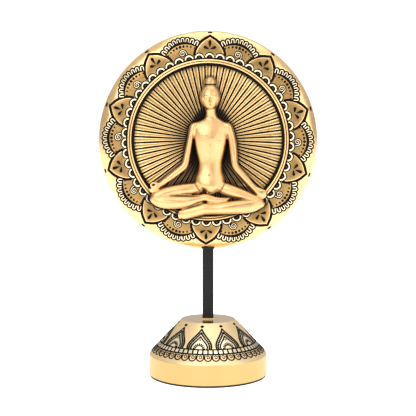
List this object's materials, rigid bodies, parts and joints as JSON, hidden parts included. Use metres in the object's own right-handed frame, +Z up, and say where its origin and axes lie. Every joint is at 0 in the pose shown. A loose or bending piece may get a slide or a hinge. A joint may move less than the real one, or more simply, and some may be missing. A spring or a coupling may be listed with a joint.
{
  "type": "buddha statue",
  "caption": "Round gilded mandala disc with a seated cross-legged yoga figure, on a black square post above a cone-topped round base.",
  "frame": {"origin": "centre of the base's underside, on the surface it stands on", "axes": "+Z up along the post, the disc and the figure face -Y, +X to the viewer's right"},
  "size_m": [0.2, 0.108, 0.315],
  "materials": {
    "gilt_resin": "satin",
    "satin_gilt_resin": "satin",
    "back_board": "matte",
    "zinc_steel": "satin",
    "black_steel": "satin",
    "black_rubber": "matte",
    "black_foam": "matte",
    "insert_brass": "satin",
    "cement": "matte"
  },
  "bodies": {
    "root": {"disc_rim": "gilt_resin", "ray_panel": "gilt_resin", "bezel_ring": "gilt_resin", "seated_figure": "gilt_resin", "base_shell": "satin_gilt_resin", "foot_collar": "satin_gilt_resin", "back_cover": "back_board", "cover_screws": "zinc_steel", "figure_screws": "zinc_steel", "post_tube": "black_steel", "rim_gasket": "black_rubber", "base_pad": "black_foam", "rod_insert": "insert_brass", "tie_rod": "zinc_steel", "rod_washer": "zinc_steel", "rod_nut": "zinc_steel", "ballast": "cement"}
  },
  "joints": []
}
